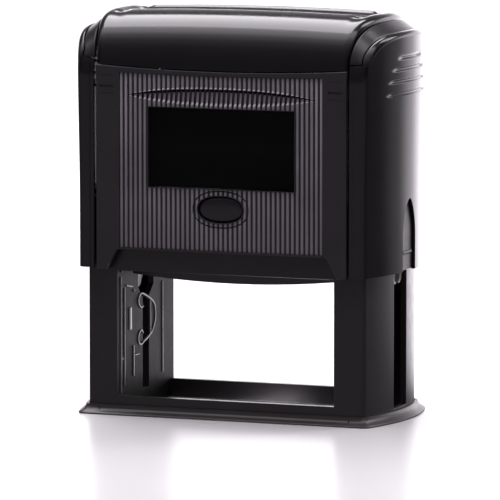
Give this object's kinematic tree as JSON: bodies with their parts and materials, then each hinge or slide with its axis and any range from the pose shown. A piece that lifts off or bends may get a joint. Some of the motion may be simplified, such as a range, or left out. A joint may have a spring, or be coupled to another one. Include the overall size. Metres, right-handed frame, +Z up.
{
  "type": "self-inking stamp",
  "caption": "Rectangular self-inking stamp: a spring-loaded cover slides down an open frame and flips a printing plate from ink pad to paper.",
  "frame": {"origin": "centre of the foot's underside, on the surface the stamp stands on", "axes": "+X to the right across the front, +Y from the front to the rear, +Z up along the pressing direction"},
  "size_m": [0.0948, 0.049, 0.1137],
  "materials": {
    "frame_black": "satin moulded ABS, near black",
    "cover_gloss": "polished moulded ABS, near black",
    "panel_charcoal": "fine-ribbed moulded ABS, charcoal",
    "label_card": "plain black card",
    "clear_window": "clear moulded plastic",
    "grey_acetal": "moulded acetal, dark grey",
    "ink_felt": "ink-soaked felt",
    "die_foam": "cellular rubber",
    "die_rubber": "laser-engraved rubber",
    "spring_steel": "drawn spring wire"
  },
  "bodies": {
    "frame": {"inner_frame": "frame_black", "base_skirt": "frame_black", "ink_cartridge": "grey_acetal", "ink_pad": "ink_felt", "return_spring": "spring_steel", "spring_guide": "frame_black"},
    "cover": {"hood": "cover_gloss", "front_panel": "panel_charcoal", "rear_panel": "panel_charcoal", "left_side_shell": "cover_gloss", "right_side_shell": "cover_gloss", "left_end_band": "cover_gloss", "right_end_band": "cover_gloss", "left_side_clip": "frame_black", "right_side_clip": "frame_black", "carrier_bridge": "cover_gloss", "spring_seat": "grey_acetal", "label_card": "label_card", "label_window": "clear_window", "button_bezel": "panel_charcoal"},
    "button": {"lock_button": "cover_gloss"},
    "platen": {"platen_carrier": "frame_black", "left_axle_pin": "grey_acetal", "right_axle_pin": "grey_acetal", "left_cam_follower": "grey_acetal", "right_cam_follower": "grey_acetal", "die_foam": "die_foam", "text_die": "die_rubber"}
  },
  "joints": [
    {"name": "cover_slide", "type": "slide", "parent": "frame", "child": "cover", "axis": [0, 0, -1], "range_m": [0, 0.033], "stiffness_N_per_m": 350, "springref_m": -0.01, "deforming": ["return_spring"]},
    {"name": "platen_flip", "type": "hinge", "parent": "cover", "child": "platen", "pos_m": [0, 0, 0.04], "axis": [1, 0, 0], "range_deg": [0, 180]},
    {"name": "button_press", "type": "slide", "parent": "cover", "child": "button", "axis": [0, 1, 0], "range_m": [0, 0.0012], "stiffness_N_per_m": 300, "springref_m": -0.0015}
  ],
  "couplings": [
    {"joint": "platen_flip", "follows": "cover_slide", "rad_per_m": 95.199}
  ]
}
